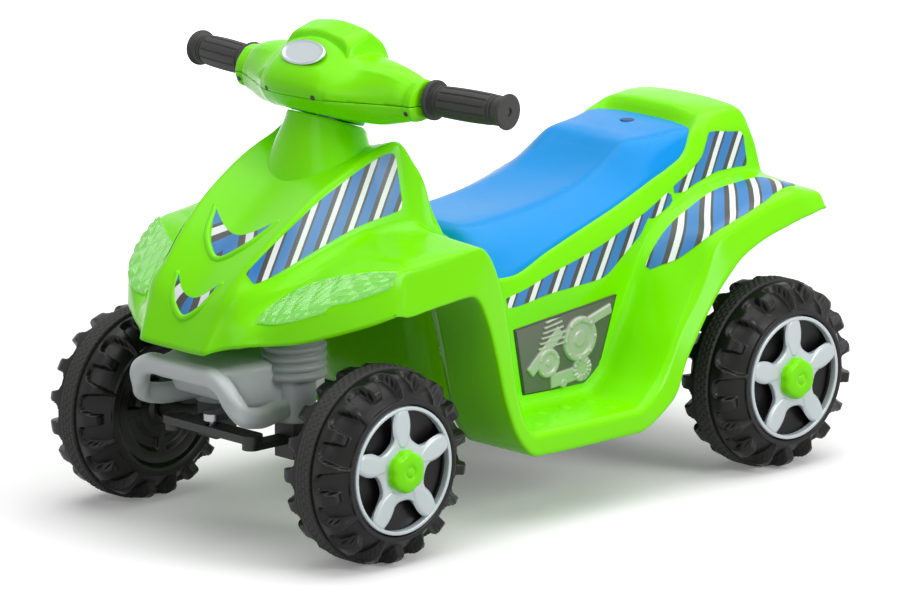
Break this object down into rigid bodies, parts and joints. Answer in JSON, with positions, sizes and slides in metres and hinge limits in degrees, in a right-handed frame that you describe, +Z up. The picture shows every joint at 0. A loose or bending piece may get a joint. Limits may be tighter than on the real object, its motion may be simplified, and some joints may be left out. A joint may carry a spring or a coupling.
{
  "type": "kids quad bike",
  "caption": "Child's battery quad bike: moulded body with foot wells, saddle, grey bumper loop, lugged wheels, coupled steering and a geared rear drive.",
  "frame": {"origin": "on the ground, midway between the two sides and between nose and tail", "axes": "+X to the rider's left, -Y to the front, +Z up"},
  "size_m": [0.4014, 0.666, 0.4388],
  "materials": {
    "body_green": "glossy blow-moulded polyethylene",
    "seat_blue": "glossy blow-moulded polyethylene",
    "bumper_grey": "satin moulded plastic",
    "wheel_black": "satin moulded plastic",
    "black_plastic": "matte moulded plastic",
    "band_rubber": "matte rubber",
    "grip_rubber": "matte rubber",
    "trim_silver": "silver-grey moulded plastic",
    "plate_white": "gloss",
    "panel_grey": "satin",
    "lens_clear": "clear prismatic plastic",
    "bush_plastic": "satin",
    "axle_steel": "drawn",
    "motor_steel": "plated",
    "screw_steel": "zinc plated",
    "battery_case": "satin",
    "button_red": "gloss",
    "gear_white": "satin",
    "gear_brass": "cut"
  },
  "bodies": {
    "chassis": {"body_shell": "body_green", "chassis_pan": "black_plastic", "seat": "seat_blue", "seat_screw": "screw_steel", "front_bumper": "bumper_grey", "column_upper_bush": "bush_plastic", "column_lower_bush": "bush_plastic", "rear_axle": "axle_steel", "axle_bushes": "bush_plastic", "rear_axle_spacer": "bush_plastic", "battery": "battery_case", "battery_strap": "black_plastic", "motor": "motor_steel", "gearbox_case": "black_plastic", "rear_left_push_nut": "axle_steel", "rear_right_push_nut": "axle_steel", "left_headlight_lens": "lens_clear", "left_engine_panel": "panel_grey", "left_strut_tube": "bumper_grey", "left_strut_bellows": "bumper_grey", "right_headlight_lens": "lens_clear", "right_engine_panel": "panel_grey", "right_strut_tube": "bumper_grey", "right_strut_bellows": "bumper_grey"},
    "handlebar": {"steering_column": "axle_steel", "handlebar_tube": "axle_steel", "handlebar_lower_cover": "body_green", "handlebar_upper_cover": "body_green", "front_plate": "plate_white", "cover_screws": "screw_steel", "left_grip": "grip_rubber", "right_grip": "grip_rubber", "throttle_switch": "black_plastic"},
    "throttle": {"throttle_button": "button_red"},
    "left_knuckle": {"left_steering_knuckle": "black_plastic", "front_left_push_nut": "axle_steel"},
    "right_knuckle": {"right_steering_knuckle": "black_plastic", "front_right_push_nut": "axle_steel"},
    "tie_rod": {"tie_rod": "black_plastic"},
    "idler": {"idler_gear": "gear_white"},
    "pinion": {"motor_pinion": "gear_brass"},
    "front_left_wheel": {"front_left_wheel": "wheel_black", "front_left_traction_band": "band_rubber", "front_left_rim_trim": "trim_silver", "front_left_hub_cap": "body_green"},
    "front_right_wheel": {"front_right_wheel": "wheel_black", "front_right_traction_band": "band_rubber", "front_right_rim_trim": "trim_silver", "front_right_hub_cap": "body_green"},
    "rear_left_wheel": {"rear_left_wheel": "wheel_black", "rear_left_traction_band": "band_rubber", "rear_left_rim_trim": "trim_silver", "rear_left_hub_cap": "body_green"},
    "rear_right_wheel": {"rear_right_wheel": "wheel_black", "rear_right_traction_band": "band_rubber", "rear_right_rim_trim": "trim_silver", "rear_right_hub_cap": "body_green", "output_gear": "gear_white"}
  },
  "joints": [
    {"name": "steering", "type": "hinge", "parent": "chassis", "child": "handlebar", "pos_m": [0, -0.1465, 0.351], "axis": [0, 0.3338, 0.9426], "range_deg": [-20, 20]},
    {"name": "left_knuckle_turn", "type": "hinge", "parent": "chassis", "child": "left_knuckle", "pos_m": [0.05, -0.2315, 0.086], "axis": [0, 0, 1], "range_deg": [-17.4, 17.4]},
    {"name": "right_knuckle_turn", "type": "hinge", "parent": "chassis", "child": "right_knuckle", "pos_m": [-0.05, -0.2315, 0.086], "axis": [0, 0, 1], "range_deg": [-17.4, 17.4]},
    {"name": "tie_rod_swing", "type": "hinge", "parent": "left_knuckle", "child": "tie_rod", "pos_m": [0.05, -0.2815, 0.098], "axis": [0, 0, 1], "range_deg": [-17.4, 17.4]},
    {"name": "throttle_press", "type": "slide", "parent": "handlebar", "child": "throttle", "axis": [0, -1, 0], "range_m": [0, 0.004], "stiffness_N_per_m": 500},
    {"name": "front_left_spin", "type": "hinge", "parent": "left_knuckle", "child": "front_left_wheel", "pos_m": [0.15275, -0.2315, 0.086], "axis": [1, 0, 0], "continuous": true},
    {"name": "front_right_spin", "type": "hinge", "parent": "right_knuckle", "child": "front_right_wheel", "pos_m": [-0.15275, -0.2315, 0.086], "axis": [1, 0, 0], "continuous": true},
    {"name": "rear_left_spin", "type": "hinge", "parent": "chassis", "child": "rear_left_wheel", "pos_m": [0.15275, 0.2485, 0.086], "axis": [1, 0, 0], "continuous": true},
    {"name": "rear_right_spin", "type": "hinge", "parent": "chassis", "child": "rear_right_wheel", "pos_m": [-0.15275, 0.2485, 0.086], "axis": [1, 0, 0], "continuous": true},
    {"name": "idler_spin", "type": "hinge", "parent": "chassis", "child": "idler", "pos_m": [-0.1065, 0.22198, 0.11252], "axis": [1, 0, 0], "continuous": true},
    {"name": "pinion_spin", "type": "hinge", "parent": "chassis", "child": "pinion", "pos_m": [-0.0995, 0.1973, 0.12677], "axis": [1, 0, 0], "continuous": true}
  ],
  "couplings": [
    {"joint": "left_knuckle_turn", "follows": "steering", "ratio": 0.85607},
    {"joint": "right_knuckle_turn", "follows": "steering", "ratio": 0.85607},
    {"joint": "tie_rod_swing", "follows": "steering", "ratio": -0.85607},
    {"joint": "idler_spin", "follows": "rear_right_spin", "ratio": -4},
    {"joint": "pinion_spin", "follows": "rear_right_spin", "ratio": 15}
  ]
}
